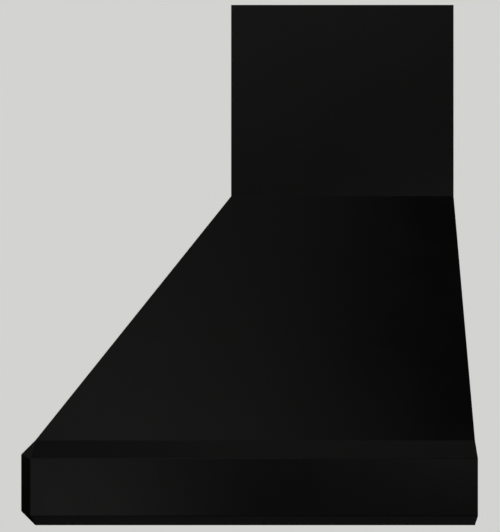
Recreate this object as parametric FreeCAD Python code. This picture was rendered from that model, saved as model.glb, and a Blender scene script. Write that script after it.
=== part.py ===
import FreeCAD, Part
import math
import os

from FreeCAD import Placement, Rotation, Vector

# Wooden range hood cover, hung on the wall over a cooker by a hooked cleat.
# Painted panels on battens make a shell that is open at the back, the top and the bottom:
# a straight chimney over a tapered canopy, which stands on a skirt with a bevelled apron.
# Millimetres. X runs along the wall, -Y points into the room and +Z points up.
# The origin is on the wall, in the middle of the wall cleat's line of screws.

# Outer form
COVER_WIDTH = 762.0         # over the apron
COVER_DEPTH = 610.0         # from the wall to the apron's face
APRON_FACE = 76.0           # upright height of the apron between its two bevels
CANOPY_RISE = 335.0
CHIMNEY_WIDTH = 406.0
CHIMNEY_DEPTH = 343.0
CHIMNEY_RISE = 295.0

# Thicknesses
APRON_BOARD = 19.0          # the bevels and the corner chamfers take its whole thickness
SKIRT_BOARD = 19.0
PANEL = 15.0                # canopy, chimney and duct shelf
BATTEN = 19.0               # stiles, rails and top cleats

# Liner ledges, which carry the extractor's liner inside the skirt
LEDGE_RECESS = 25.0         # underside of the ledges above the bottom of the apron
LEDGE_THICKNESS = 19.0
LEDGE_WIDTH = 32.0
LINER_SCREW_RADIUS = 2.0
LINER_SCREW_SETBACK = 60.0  # from the ends of the side ledges

# Cleats that bridge the two bends of the shell
CLEAT_REACH = 30.0          # above and below the bend
BASE_CLEAT_WIDTH = 38.0
BEND_CLEAT_WIDTH = 25.0

# Battens and blocks
STILE_WIDTH = 45.0
HIP_BATTEN = 24.0           # from the inside of the hip to the batten's face
CORNER_BATTEN = 25.0
GLUE_BLOCK = 38.0           # legs of the skirt's triangular blocks
RAIL_BLOCK = 26.0
RAIL_BLOCK_HEIGHT = 60.0
TOP_CLEAT_HEIGHT = 38.0
TOP_RAIL_HEIGHT = 60.0
BACK_RAIL_HEIGHT = 90.0

# Hanging rail and wall cleat, which hook together on 45 degree edges
RAIL_HEIGHT = 89.0
RAIL_DROP = 49.0            # top of the rail below the bend cleats
WALL_CLEAT_HEIGHT = 89.0
WALL_CLEAT_BELOW = 35.0     # from the line of screws down to the cleat's lower edge
WALL_CLEAT_SIDE_GAP = 6.0
WALL_SCREW_INSET = 26.9     # from the wall cleat's ends
WALL_SCREW_RADIUS = 3.4
WALL_SCREW_HEAD_RADIUS = 7.0
HOOK_GAP = 0.3
HOOK_FLAT = 3.0             # blunted tip of each hooked edge
STUD_SPACING = 406.4        # between the lower wall screws

# Duct shelf and top of the chimney
DUCT_RADIUS = 104.0         # round an eight inch duct
CEILING_SCREW_RADIUS = 2.5
CEILING_SCREW_SETBACK = 50.0  # from the ends of the top cleats

# Screws that hold the duct shelf down
SHELF_SCREW = 35.0
SCREW_HEAD_RADIUS = 4.2
SCREW_SHANK_RADIUS = 2.1
SCREW_CLEARANCE = 0.1
SCREW_END_MARGIN = 70.0     # from the end of a cleat to its outer screw

# Levels, up from the line of the wall cleat's screws
wall_cleat_bottom = -WALL_CLEAT_BELOW
wall_cleat_lip = wall_cleat_bottom + WALL_CLEAT_HEIGHT
rail_tip = wall_cleat_lip - BATTEN
rail_top = rail_tip + RAIL_HEIGHT
canopy_top = rail_top + RAIL_DROP + CLEAT_REACH
canopy_bottom = canopy_top - CANOPY_RISE
apron_bottom = canopy_bottom - APRON_FACE - 2 * APRON_BOARD
chimney_top = canopy_top + CHIMNEY_RISE
ledge_bottom = apron_bottom + LEDGE_RECESS
ledge_top = ledge_bottom + LEDGE_THICKNESS
back_rail_top = apron_bottom + BACK_RAIL_HEIGHT
base_cleat_bottom = canopy_bottom - CLEAT_REACH
base_cleat_top = canopy_bottom + CLEAT_REACH
bend_cleat_bottom = canopy_top - CLEAT_REACH
bend_cleat_top = canopy_top + CLEAT_REACH
shelf_top = bend_cleat_top + PANEL

pieces = {}


class Plane:
    """A flat cut through the work. What lies on the side its normal points to is waste."""

    def __init__(self, point, normal):
        self.point = Vector(*point)
        self.normal = Vector(*normal).normalize()

    def inward(self, distance):
        """The parallel plane that lies this far back into the work."""
        return Plane(self.point - self.normal * distance, self.normal)

    def back(self):
        """The same plane with its waste on the other side."""
        return Plane(self.point, self.normal * -1)

    def mirrored(self):
        """The plane as it lies on the other side of the cover's middle."""
        point = (-self.point.x, self.point.y, self.point.z)
        return Plane(point, (-self.normal.x, self.normal.y, self.normal.z))

    def offset(self):
        """Distance of the plane from the origin, along its normal."""
        return self.point.dot(self.normal)


def right_of(x):
    """Waste lies to the right of x."""
    return Plane((x, 0, 0), (1, 0, 0))


def left_of(x):
    """Waste lies to the left of x."""
    return right_of(x).back()


def behind(y):
    """Waste lies on the wall's side of y."""
    return Plane((0, y, 0), (0, 1, 0))


def ahead_of(y):
    """Waste lies on the room's side of y."""
    return behind(y).back()


def above(level):
    """Waste lies above the level."""
    return Plane((0, 0, level), (0, 0, 1))


def below(level):
    """Waste lies below the level."""
    return above(level).back()


def common_point(one, other):
    """A point on the line where two planes meet."""
    cosine = one.normal.dot(other.normal)
    along_one = one.offset() - other.offset() * cosine
    along_other = other.offset() - one.offset() * cosine
    return (one.normal * along_one + other.normal * along_other) * (1 / (1 - cosine ** 2))


def mitre(own, neighbour):
    """The cut that halves the corner between a panel's own face and its neighbour's face."""
    return Plane(common_point(own, neighbour), neighbour.normal - own.normal)


def across_corner(one, other, distance):
    """The cut across the inside of a corner, a distance from the line where its faces meet."""
    outward = (one.normal + other.normal).normalize()
    return Plane(common_point(one, other) - outward * distance, outward * -1)


def carve(*planes):
    """The solid that is left of a large blank once the waste of every plane is off."""
    reach = COVER_WIDTH + COVER_DEPTH + CANOPY_RISE + CHIMNEY_RISE
    solid = Part.makeBox(2 * reach, 2 * reach, 2 * reach, Vector(-reach, -reach, -reach))
    for plane in planes:
        waste = Part.makeBox(8 * reach, 8 * reach, 8 * reach, Vector(-4 * reach, -4 * reach, 0))
        waste.Placement = Placement(plane.point, Rotation(Vector(0, 0, 1), plane.normal))
        solid = solid.cut(waste)
    return solid.Solids[0]


def slab(face, thickness, *cuts):
    """A board of even thickness behind its outer face, trimmed by the other cuts."""
    return carve(face, face.inward(thickness).back(), *cuts)


def mirror_image(shape):
    """The left-hand copy of a right-hand piece."""
    return shape.mirror(Vector(0, 0, 0), Vector(1, 0, 0))


def add_pair(name, right_piece):
    """Keep a right-hand piece and its left-hand copy as two nodes."""
    pieces[name + "_right"] = right_piece
    pieces[name + "_left"] = mirror_image(right_piece)


def spread(count, low, high, margin):
    """Evenly spaced places between two ends, the outer ones a margin in."""
    step = (high - low - 2 * margin) / (count - 1)
    return [low + margin + index * step for index in range(count)]


def drill(name, radius, point, direction, length):
    """Bore a straight hole into a piece from a point on its face."""
    pieces[name] = pieces[name].cut(Part.makeCylinder(radius, length, point, direction))


# Outer and inner faces of the shell, right-hand side and front
WALL = behind(0)
SHAFT_UP = Vector(0, 0, 1)

apron_side_face = right_of(COVER_WIDTH / 2)
apron_front_face = ahead_of(-COVER_DEPTH)
skirt_side_face = apron_side_face.inward(APRON_BOARD)
skirt_front_face = apron_front_face.inward(APRON_BOARD)
skirt_side_inside = skirt_side_face.inward(SKIRT_BOARD)
skirt_front_inside = skirt_front_face.inward(SKIRT_BOARD)

side_run = skirt_side_face.point.x - CHIMNEY_WIDTH / 2
front_run = -skirt_front_face.point.y - CHIMNEY_DEPTH
canopy_side_face = Plane((CHIMNEY_WIDTH / 2, 0, canopy_top), (CANOPY_RISE, 0, side_run))
canopy_front_face = Plane((0, -CHIMNEY_DEPTH, canopy_top), (0, -CANOPY_RISE, front_run))
canopy_side_inside = canopy_side_face.inward(PANEL)
canopy_front_inside = canopy_front_face.inward(PANEL)

chimney_side_face = right_of(CHIMNEY_WIDTH / 2)
chimney_front_face = ahead_of(-CHIMNEY_DEPTH)
chimney_side_inside = chimney_side_face.inward(PANEL)
chimney_front_inside = chimney_front_face.inward(PANEL)


def apron_bevels(face):
    """Top and bottom bevels of an apron board, each through the board's whole thickness."""
    crown = (face.point - face.normal * APRON_BOARD) + SHAFT_UP * canopy_bottom
    foot = (face.point - face.normal * APRON_BOARD) + SHAFT_UP * apron_bottom
    return [Plane(crown, face.normal + SHAFT_UP), Plane(foot, face.normal - SHAFT_UP)]


def apron_corner_cuts(side_face):
    """Upright chamfer of a front corner, with the flat facets that close it above and below."""
    diagonal = side_face.normal + apron_front_face.normal
    inner_corner = common_point(side_face, apron_front_face) - diagonal * APRON_BOARD
    chamfer = Plane(inner_corner + side_face.normal * APRON_BOARD, diagonal)
    crown_facet = Plane(inner_corner + SHAFT_UP * canopy_bottom, diagonal + SHAFT_UP)
    foot_facet = Plane(inner_corner + SHAFT_UP * apron_bottom, diagonal - SHAFT_UP)
    return [chamfer, crown_facet, foot_facet]


def build_apron():
    """Three mitred boards with bevelled edges and chamfered corners round the skirt."""
    right_corner = apron_corner_cuts(apron_side_face)
    left_corner = [cut.mirrored() for cut in right_corner]
    front_mitre = mitre(apron_front_face, apron_side_face)
    levels = [above(canopy_bottom), below(apron_bottom)]

    front_cuts = levels + apron_bevels(apron_front_face) + right_corner + left_corner
    front_cuts += [front_mitre, front_mitre.mirrored()]
    pieces["apron_front"] = slab(apron_front_face, APRON_BOARD, *front_cuts)

    side_cuts = levels + apron_bevels(apron_side_face) + right_corner
    side_cuts += [WALL, mitre(apron_side_face, apron_front_face)]
    add_pair("apron", slab(apron_side_face, APRON_BOARD, *side_cuts))


def build_skirt():
    """The square frame inside the apron, its back rail and its glue blocks."""
    levels = [above(canopy_bottom), below(apron_bottom)]
    ends = [skirt_side_face, skirt_side_face.mirrored()]
    pieces["skirt_front"] = slab(skirt_front_face, SKIRT_BOARD, *levels, *ends)
    add_pair("skirt", slab(skirt_side_face, SKIRT_BOARD, *levels, WALL, skirt_front_inside))

    inner_ends = [skirt_side_inside, skirt_side_inside.mirrored()]
    back_levels = [below(apron_bottom), above(back_rail_top)]
    pieces["skirt_back_rail"] = slab(WALL, SKIRT_BOARD, *inner_ends, *back_levels)

    rail_face = WALL.inward(SKIRT_BOARD)
    block_levels = [below(ledge_top), above(base_cleat_bottom)]
    blocks = []
    for face in (skirt_front_inside, rail_face):
        hypotenuse = across_corner(face, skirt_side_inside, GLUE_BLOCK / math.sqrt(2))
        block = carve(face, skirt_side_inside, hypotenuse, *block_levels)
        blocks += [block, mirror_image(block)]
    pieces["skirt_glue_blocks"] = Part.makeCompound(blocks)


def build_liner_ledges():
    """Battens round the inside of the skirt, for the flange of the extractor's liner."""
    levels = [below(ledge_bottom), above(ledge_top)]
    ends = [skirt_side_inside, skirt_side_inside.mirrored()]
    rail_face = WALL.inward(SKIRT_BOARD)
    pieces["liner_ledge_front"] = slab(skirt_front_inside, LEDGE_WIDTH, *levels, *ends)
    pieces["liner_ledge_back"] = slab(rail_face, LEDGE_WIDTH, *levels, *ends)
    front_end = skirt_front_inside.inward(LEDGE_WIDTH)
    back_end = rail_face.inward(LEDGE_WIDTH)
    add_pair("liner_ledge", slab(skirt_side_inside, LEDGE_WIDTH, *levels, front_end, back_end))

    screw_x = skirt_side_inside.point.x - LEDGE_WIDTH / 2
    low, high = front_end.point.y, back_end.point.y
    for screw_y in spread(2, low, high, LINER_SCREW_SETBACK):
        for name, side in (("liner_ledge_right", 1), ("liner_ledge_left", -1)):
            start = Vector(side * screw_x, screw_y, ledge_bottom)
            drill(name, LINER_SCREW_RADIUS, start, SHAFT_UP, LEDGE_THICKNESS)


def build_canopy():
    """Three tapered panels with compound mitres at the hips, and the battens behind them."""
    levels = [above(canopy_top), below(canopy_bottom)]
    hip = mitre(canopy_front_face, canopy_side_face)
    pieces["canopy_front"] = slab(canopy_front_face, PANEL, *levels, hip, hip.mirrored())
    side_hip = mitre(canopy_side_face, canopy_front_face)
    add_pair("canopy", slab(canopy_side_face, PANEL, *levels, WALL, side_hip))

    between_cleats = [below(base_cleat_top), above(bend_cleat_bottom)]
    batten_face = across_corner(canopy_front_inside, canopy_side_inside, HIP_BATTEN)
    hip_faces = [canopy_front_inside, canopy_side_inside, batten_face]
    add_pair("hip_batten", carve(*hip_faces, *between_cleats))
    stile_cuts = [WALL, ahead_of(-STILE_WIDTH), *between_cleats]
    add_pair("canopy_stile", slab(canopy_side_inside, BATTEN, *stile_cuts))


def bent_cleat(lower_faces, upper_faces, levels, *cuts):
    """A cleat that lies behind a bend of the shell, cut to the faces below and above it."""
    bottom, bend, top = levels
    lower = carve(*lower_faces, *cuts, below(bottom), above(bend))
    upper = carve(*upper_faces, *cuts, below(bend), above(top))
    return lower.fuse(upper).removeSplitter().Solids[0]


def build_bend(name, lower, upper, upright, width, levels, back_end):
    """The cleats of one bend: one across the front, between two along the sides.

    lower, upper and upright are pairs of inside faces, side and front: those below the bend,
    those above it, and whichever of the two pairs stands upright. The room side of every
    cleat is upright too, a width in from that pair.
    """
    side_inner = upright[0].inward(width)
    front_inner = upright[1].inward(width)
    add_pair(name, bent_cleat(lower, upper, levels, side_inner.back(), back_end))
    ends = [side_inner, side_inner.mirrored()]
    front = bent_cleat([lower[1]], [upper[1]], levels, front_inner.back(), *ends)
    pieces[name + "_front"] = front


def build_shell_cleats():
    """The cleats that tie the canopy to the skirt below it and to the chimney above it."""
    skirt = (skirt_side_inside, skirt_front_inside)
    canopy = (canopy_side_inside, canopy_front_inside)
    chimney = (chimney_side_inside, chimney_front_inside)
    rail_face = WALL.inward(SKIRT_BOARD)
    base_levels = (base_cleat_bottom, canopy_bottom, base_cleat_top)
    build_bend("base_cleat", skirt, canopy, skirt, BASE_CLEAT_WIDTH, base_levels, rail_face)
    bend_levels = (bend_cleat_bottom, canopy_top, bend_cleat_top)
    build_bend("bend_cleat", canopy, chimney, chimney, BEND_CLEAT_WIDTH, bend_levels, WALL)


def build_chimney():
    """Three upright panels, the battens in their corners and the frame round their top."""
    levels = [above(chimney_top), below(canopy_top)]
    corner = mitre(chimney_front_face, chimney_side_face)
    pieces["chimney_front"] = slab(chimney_front_face, PANEL, *levels, corner, corner.mirrored())
    side_corner = mitre(chimney_side_face, chimney_front_face)
    add_pair("chimney", slab(chimney_side_face, PANEL, *levels, WALL, side_corner))

    over_shelf = [below(shelf_top), above(chimney_top)]
    batten_front = chimney_front_inside.inward(CORNER_BATTEN)
    batten_side = chimney_side_inside.inward(CORNER_BATTEN)
    batten_cuts = [chimney_side_inside, batten_side.back(), batten_front.back(), *over_shelf]
    add_pair("corner_batten", carve(chimney_front_inside, *batten_cuts))
    stile_cuts = [WALL, ahead_of(-STILE_WIDTH), *over_shelf]
    add_pair("chimney_stile", slab(chimney_side_inside, BATTEN, *stile_cuts))

    stile_face = chimney_side_inside.inward(BATTEN)
    rail_levels = [above(chimney_top), below(chimney_top - TOP_RAIL_HEIGHT)]
    rail_ends = [stile_face, stile_face.mirrored()]
    pieces["chimney_top_rail"] = slab(WALL, BATTEN, *rail_levels, *rail_ends)

    cleat_levels = [above(chimney_top), below(chimney_top - TOP_CLEAT_HEIGHT)]
    cleat_ends = [batten_front, behind(-STILE_WIDTH)]
    add_pair("top_cleat", slab(chimney_side_inside, BATTEN, *cleat_levels, *cleat_ends))
    front_ends = [batten_side, batten_side.mirrored()]
    pieces["top_cleat_front"] = slab(chimney_front_inside, BATTEN, *cleat_levels, *front_ends)

    screw_x = chimney_side_inside.point.x - BATTEN / 2
    for screw_y in spread(2, batten_front.point.y, -STILE_WIDTH, CEILING_SCREW_SETBACK):
        for name, side in (("top_cleat_right", 1), ("top_cleat_left", -1)):
            start = Vector(side * screw_x, screw_y, chimney_top - TOP_CLEAT_HEIGHT)
            drill(name, CEILING_SCREW_RADIUS, start, SHAFT_UP, TOP_CLEAT_HEIGHT)


def build_duct_shelf():
    """A panel across the foot of the chimney, with the hole that the duct passes through."""
    sides = [chimney_side_inside, chimney_side_inside.mirrored()]
    levels = [below(bend_cleat_top), above(shelf_top)]
    pieces["duct_shelf"] = carve(chimney_front_inside, WALL, *sides, *levels)
    duct_y = (chimney_front_inside.inward(BEND_CLEAT_WIDTH).point.y) / 2
    drill("duct_shelf", DUCT_RADIUS, Vector(0, duct_y, bend_cleat_top), SHAFT_UP, PANEL)


def countersunk_hole(name, point):
    """A wall screw's hole, bored through a board from its room side, with a sunk mouth."""
    to_wall = Vector(0, 1, 0)
    drill(name, WALL_SCREW_RADIUS, point, to_wall, -point.y)
    sink = Part.makeCone(
        WALL_SCREW_HEAD_RADIUS, WALL_SCREW_RADIUS,
        WALL_SCREW_HEAD_RADIUS - WALL_SCREW_RADIUS, point, to_wall,
    )
    pieces[name] = pieces[name].cut(sink)


def build_hanging():
    """The hooked rail between the canopy's stiles, and the wall cleat that it hooks over."""
    rail_end = canopy_side_inside.inward(BATTEN)
    hook = Plane((0, -BATTEN, wall_cleat_lip), (0, 1, 1))
    rail_hook = hook.inward(-HOOK_GAP).back()
    rail_levels = [above(rail_top), below(rail_tip + HOOK_FLAT)]
    rail_ends = [rail_end, rail_end.mirrored()]
    pieces["hanging_rail"] = slab(WALL, BATTEN, *rail_levels, *rail_ends, rail_hook)

    rail_middle = (rail_tip + BATTEN + rail_top) / 2
    block_levels = [
        below(rail_middle - RAIL_BLOCK_HEIGHT / 2),
        above(rail_middle + RAIL_BLOCK_HEIGHT / 2),
    ]
    block_depth = [behind(-BATTEN), ahead_of(-STILE_WIDTH)]
    add_pair("rail_block", slab(rail_end, RAIL_BLOCK, *block_levels, *block_depth))

    room_at_lip = common_point(rail_end, above(wall_cleat_lip)).x
    half_length = room_at_lip - WALL_CLEAT_SIDE_GAP
    cleat_levels = [below(wall_cleat_bottom), above(wall_cleat_lip - HOOK_FLAT)]
    cleat_ends = [right_of(half_length), left_of(-half_length)]
    pieces["wall_cleat"] = slab(WALL, BATTEN, *cleat_levels, *cleat_ends, hook)
    for screw_x in spread(2, -half_length, half_length, WALL_SCREW_INSET):
        countersunk_hole("wall_cleat", Vector(screw_x, -BATTEN, 0))
    lower_level = (ledge_top + back_rail_top) / 2
    for screw_x in (-STUD_SPACING / 2, STUD_SPACING / 2):
        countersunk_hole("skirt_back_rail", Vector(screw_x, -SKIRT_BOARD, lower_level))


def screw_form(seat, direction, length, grown):
    """A countersunk wood screw, or its hole when it is grown by a clearance."""
    head = SCREW_HEAD_RADIUS + grown
    shank = SCREW_SHANK_RADIUS + grown
    profile = [
        Vector(0, 0, 0),
        Vector(head, 0, 0),
        Vector(shank, 0, head - shank),
        Vector(shank, 0, length + grown),
        Vector(0, 0, length + grown),
        Vector(0, 0, 0),
    ]
    solid = Part.Face(Part.makePolygon(profile)).revolve(Vector(0, 0, 0), SHAFT_UP, 360)
    solid.Placement = Placement(seat, Rotation(SHAFT_UP, direction))
    return solid


def drive_screws(seats, direction, length, through):
    """Screws of one length driven the same way, with their holes cut in what they pass."""
    screws = []
    for seat in seats:
        hole = screw_form(seat, direction, length, SCREW_CLEARANCE)
        for name in through:
            pieces[name] = pieces[name].cut(hole)
        screws.append(screw_form(seat, direction, length, 0))
    return screws


def drive_shelf_screws():
    """Screws down through the duct shelf into the bend cleats that carry it."""
    down = SHAFT_UP * -1
    front_y = chimney_front_inside.point.y
    cleat_middle = BEND_CLEAT_WIDTH / 2
    side_x = chimney_side_inside.point.x - cleat_middle
    side_places = spread(2, front_y, 0, SCREW_END_MARGIN)
    front_places = spread(2, -side_x, side_x, SCREW_END_MARGIN)
    rows = {
        "bend_cleat_right": [Vector(side_x, y, shelf_top) for y in side_places],
        "bend_cleat_left": [Vector(-side_x, y, shelf_top) for y in side_places],
        "bend_cleat_front": [Vector(x, front_y + cleat_middle, shelf_top) for x in front_places],
    }
    screws = []
    for name, seats in rows.items():
        screws += drive_screws(seats, down, SHELF_SCREW, ["duct_shelf", name])
    pieces["shelf_screws"] = Part.makeCompound(screws)


def main():
    """Build every piece and write each one as a node of its own."""
    build_apron()
    build_skirt()
    build_liner_ledges()
    build_canopy()
    build_shell_cleats()
    build_chimney()
    build_duct_shelf()
    build_hanging()
    drive_shelf_screws()

    os.makedirs("parts", exist_ok=True)
    for name, shape in pieces.items():
        shape.removeSplitter().exportStep("parts/" + name + ".step")


main()
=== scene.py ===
import logging
import math
import random
from dataclasses import dataclass, field
from enum import Enum

import bmesh
import bpy
from mathutils import Matrix, Vector


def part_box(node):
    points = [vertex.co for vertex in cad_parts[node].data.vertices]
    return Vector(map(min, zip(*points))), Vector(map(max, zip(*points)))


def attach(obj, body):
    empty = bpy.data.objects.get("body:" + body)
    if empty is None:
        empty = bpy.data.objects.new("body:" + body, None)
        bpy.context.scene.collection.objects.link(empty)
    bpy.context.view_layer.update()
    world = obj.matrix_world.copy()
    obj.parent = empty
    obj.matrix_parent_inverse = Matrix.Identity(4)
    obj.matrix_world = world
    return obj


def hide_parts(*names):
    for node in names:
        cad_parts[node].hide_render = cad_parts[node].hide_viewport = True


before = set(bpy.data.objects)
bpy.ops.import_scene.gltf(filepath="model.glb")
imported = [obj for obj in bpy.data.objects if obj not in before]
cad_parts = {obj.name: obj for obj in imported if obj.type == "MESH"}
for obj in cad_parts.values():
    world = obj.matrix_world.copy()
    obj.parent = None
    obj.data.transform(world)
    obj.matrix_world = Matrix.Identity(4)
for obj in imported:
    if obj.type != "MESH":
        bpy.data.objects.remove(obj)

# The looks of a wooden range hood cover, painted satin black outside and bare timber inside.
# Metres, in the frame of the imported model: X along the wall, -Y into the room, +Z up.

LOG = logging.getLogger("hood_cover")
MM = 0.001
COVER_BODY = "cover"
SIDES = {"left": -1.0, "right": 1.0}
PITH_OFF = (20.0 * MM, 50.0 * MM)   # how far off a board's middle its log's pith lay, along each axis
SHEET_SHIFT = 2.0                   # how far a board's place on the veneer may move, along each axis
NO_LAP = 10.0   # a face this far off laps no paint over any board
NO_RIM = -1.0   # a level under the whole cover

Point = tuple[float, float, float]
Wire = bpy.types.NodeSocket


class Grain(Enum):
    """The way a board's grain runs, as a direction in the cover's frame."""

    ACROSS = (1.0, 0.0, 0.0)
    DEEP = (0.0, 1.0, 0.0)
    UPRIGHT = (0.0, 0.0, 1.0)


class Wiring:
    """Adds nodes to one tree. Most methods return the output of the node that they add."""

    def __init__(self, tree: bpy.types.NodeTree) -> None:
        """Start on a tree."""
        self.tree = tree

    def feed(self, socket: Wire, value: object) -> None:
        """Join a socket to an output, or set it to a plain value.

        Args:
            socket: the input to fill.
            value: an output of another node, or a plain value.
        """
        if isinstance(value, bpy.types.NodeSocket):
            self.tree.links.new(value, socket)
        else:
            socket.default_value = value

    def add(self, kind: str, options: dict | None = None, **inputs: object) -> bpy.types.Node:
        """Add one node.

        Args:
            kind: the node's type name.
            options: settings of the node itself.
            inputs: its inputs by name, with _ for a space.

        Returns:
            The new node.
        """
        node = self.tree.nodes.new(kind)
        for option, value in (options or {}).items():
            setattr(node, option, value)
        for name, value in inputs.items():
            self.feed(node.inputs[name.replace("_", " ")], value)
        return node

    def math(self, operation: str, *values: object) -> Wire:
        """Work out one number from others.

        Args:
            operation: the sum to do.
            values: its numbers, in order.

        Returns:
            The result.
        """
        node = self.add("ShaderNodeMath", {"operation": operation})
        for socket, value in zip(node.inputs, values):
            self.feed(socket, value)
        return node.outputs[0]

    def vector(self, operation: str, *values: object) -> Wire:
        """Work out a vector, or the number that a dot product or a length gives.

        Args:
            operation: the sum to do.
            values: its vectors and numbers, in order.

        Returns:
            The result.
        """
        node = self.add("ShaderNodeVectorMath", {"operation": operation})
        sockets = [s for s in node.inputs if s.enabled]
        for socket, value in zip(sockets, values):
            self.feed(socket, value)
        return next(s for s in node.outputs if s.enabled)

    def split(self, place: Wire, grain: Wire) -> tuple[Wire, Wire]:
        """Split a place into its part along the grain and its part across.

        Args:
            place: the place, from the origin.
            grain: the direction of the grain.

        Returns:
            The part along and the part across.
        """
        along = self.vector("DOT_PRODUCT", place, grain)
        stem = self.vector("SCALE", grain, along)
        return stem, self.vector("SUBTRACT", place, stem)

    def draw_out(self, stem: Wire, cross: Wire, share: float) -> Wire:
        """Keep only a share of the length along the grain, so that noise there is drawn out."""
        return self.vector("ADD", cross, self.vector("SCALE", stem, share))

    def ease(self, value: Wire, low: float, high: float, start: float = 0.0, end: float = 1.0) -> Wire:
        """Map a number smoothly from one range onto another.

        Args:
            value: the number.
            low: where the first range starts.
            high: where it ends.
            start: what low becomes.
            end: what high becomes.

        Returns:
            The mapped number, which never leaves the second range.
        """
        node = self.add(
            "ShaderNodeMapRange", {"interpolation_type": "SMOOTHSTEP"},
            From_Min=low, From_Max=high, To_Min=start, To_Max=end,
        )
        self.feed(node.inputs["Value"], value)
        return node.outputs["Result"]

    def noise(self, place: Wire, scale: float, detail: float = 3.0, rough: float = 0.5) -> Wire:
        """Cloudy noise from 0 to 1, with its scale in features for each metre."""
        node = self.add("ShaderNodeTexNoise", Vector=place, Scale=scale, Detail=detail, Roughness=rough)
        return node.outputs["Fac"]

    def mix(self, share: object, first: object, second: object, mode: str = "MIX") -> Wire:
        """Mix two colours.

        Args:
            share: how much of the second there is.
            first: one colour.
            second: the other.
            mode: how they mix.

        Returns:
            The mixed colour.
        """
        node = self.add("ShaderNodeMix", {"data_type": "RGBA", "blend_type": mode})
        sockets = [s for s in node.inputs if s.enabled]
        for socket, value in zip(sockets, (share, first, second)):
            self.feed(socket, value)
        return next(s for s in node.outputs if s.enabled)

    def between(self, share: Wire, first: object, second: object) -> Wire:
        """Mix two numbers.

        Args:
            share: how much of the second there is.
            first: one number.
            second: the other.

        Returns:
            The mixed number.
        """
        node = self.add("ShaderNodeMix", {"data_type": "FLOAT"})
        sockets = [s for s in node.inputs if s.enabled]
        for socket, value in zip(sockets, (share, first, second)):
            self.feed(socket, value)
        return next(s for s in node.outputs if s.enabled)


class Effect:
    """A shader effect that several finishes share. Its node group is made once."""

    title = ""
    takes: dict[str, str] = {}
    gives: dict[str, str] = {}

    def group(self) -> bpy.types.NodeTree:
        """Make the node group, or find it if it is made.

        Returns:
            The group, with its named inputs and outputs.
        """
        tree = bpy.data.node_groups.get(self.title)
        if tree:
            return tree
        tree = bpy.data.node_groups.new(self.title, "ShaderNodeTree")
        for name, kind in self.takes.items():
            tree.interface.new_socket(name, in_out="INPUT", socket_type="NodeSocket" + kind)
        for name, kind in self.gives.items():
            tree.interface.new_socket(name, in_out="OUTPUT", socket_type="NodeSocket" + kind)
        wiring = Wiring(tree)
        entry = wiring.add("NodeGroupInput")
        results = self.wire(wiring, {s.name: s for s in entry.outputs if s.name})
        leave = wiring.add("NodeGroupOutput")
        for name, result in results.items():
            wiring.feed(leave.inputs[name], result)
        return tree

    def wire(self, wiring: Wiring, given: dict[str, Wire]) -> dict[str, Wire]:
        """Wire up the effect.

        Args:
            wiring: the group's own tree.
            given: the group's inputs by name.

        Returns:
            What goes to each of its outputs, by name.
        """
        raise NotImplementedError

    def place(self, wiring: Wiring, **inputs: object) -> dict[str, Wire]:
        """Put the effect in a material.

        Args:
            wiring: the material's tree.
            inputs: the effect's inputs by name, with _ for a space.

        Returns:
            Its outputs by name.
        """
        node = wiring.add("ShaderNodeGroup", {"node_tree": self.group()}, **inputs)
        return {s.name: s for s in node.outputs}


class TimberGrain(Effect):
    """Growth rings, fibres and knots of solid wood, cut out of one log."""

    title = "timber_grain"
    takes = {"Place": "Vector", "Grain": "Vector", "Pith": "Vector", "Ring Width": "Float", "Knots": "Float"}
    gives = {"Late Wood": "Float", "Fibre": "Float", "Knot": "Float", "Height": "Float"}
    knot_share = 0.16           # of the length along the grain, for knots and wandering rings
    fibre_share = 0.025         # of the same, for fibres
    knots_per_metre = 14.0
    wander = 16.0 * MM          # how far the rings stray
    swelling = 7.0 * MM         # how far a knot pushes them
    unevenness = 0.9            # of a ring's width

    def wire(self, wiring: Wiring, given: dict[str, Wire]) -> dict[str, Wire]:
        """Rings are the distance from the pith, bent by slow noise and pushed aside by knots."""
        w = wiring
        stem, cross = w.split(w.vector("ADD", given["Place"], given["Pith"]), given["Grain"])
        squeezed = w.draw_out(stem, cross, self.knot_share)
        streaked = w.draw_out(stem, cross, self.fibre_share)

        cells = {"Vector": squeezed, "Scale": self.knots_per_metre}
        cell = w.add("ShaderNodeTexVoronoi", {"feature": "F1"}, **cells)
        knot_far = cell.outputs["Distance"]
        knot = w.math("MULTIPLY", w.ease(knot_far, 0.16, 0.09), given["Knots"])
        push = w.math("MULTIPLY", w.ease(knot_far, 0.42, 0.05), given["Knots"])

        stray = w.math("SUBTRACT", w.noise(squeezed, 9.0, 2.0), 0.5)
        radius = w.vector("LENGTH", cross)
        radius = w.math("MULTIPLY_ADD", stray, self.wander, radius)
        radius = w.math("MULTIPLY_ADD", push, self.swelling, radius)
        rings = w.math("DIVIDE", radius, given["Ring Width"])
        uneven = w.noise(cross, 60.0, 1.0)
        rings = w.math("MULTIPLY_ADD", uneven, self.unevenness, rings)
        phase = w.math("FRACT", rings)
        rise = w.ease(phase, 0.25, 0.86)
        fall = w.ease(phase, 0.90, 1.0, 1.0, 0.0)
        late = w.math("MULTIPLY", rise, fall)

        fine = w.noise(streaked, 1500.0, 2.0, 0.6)
        broad = w.noise(streaked, 260.0, 3.0, 0.6)
        fibre = w.between(0.45, fine, broad)
        height = w.math("MULTIPLY_ADD", late, 0.35, w.math("MULTIPLY", fine, 0.65))
        return {"Late Wood": late, "Fibre": fibre, "Knot": knot, "Height": height}


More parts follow.
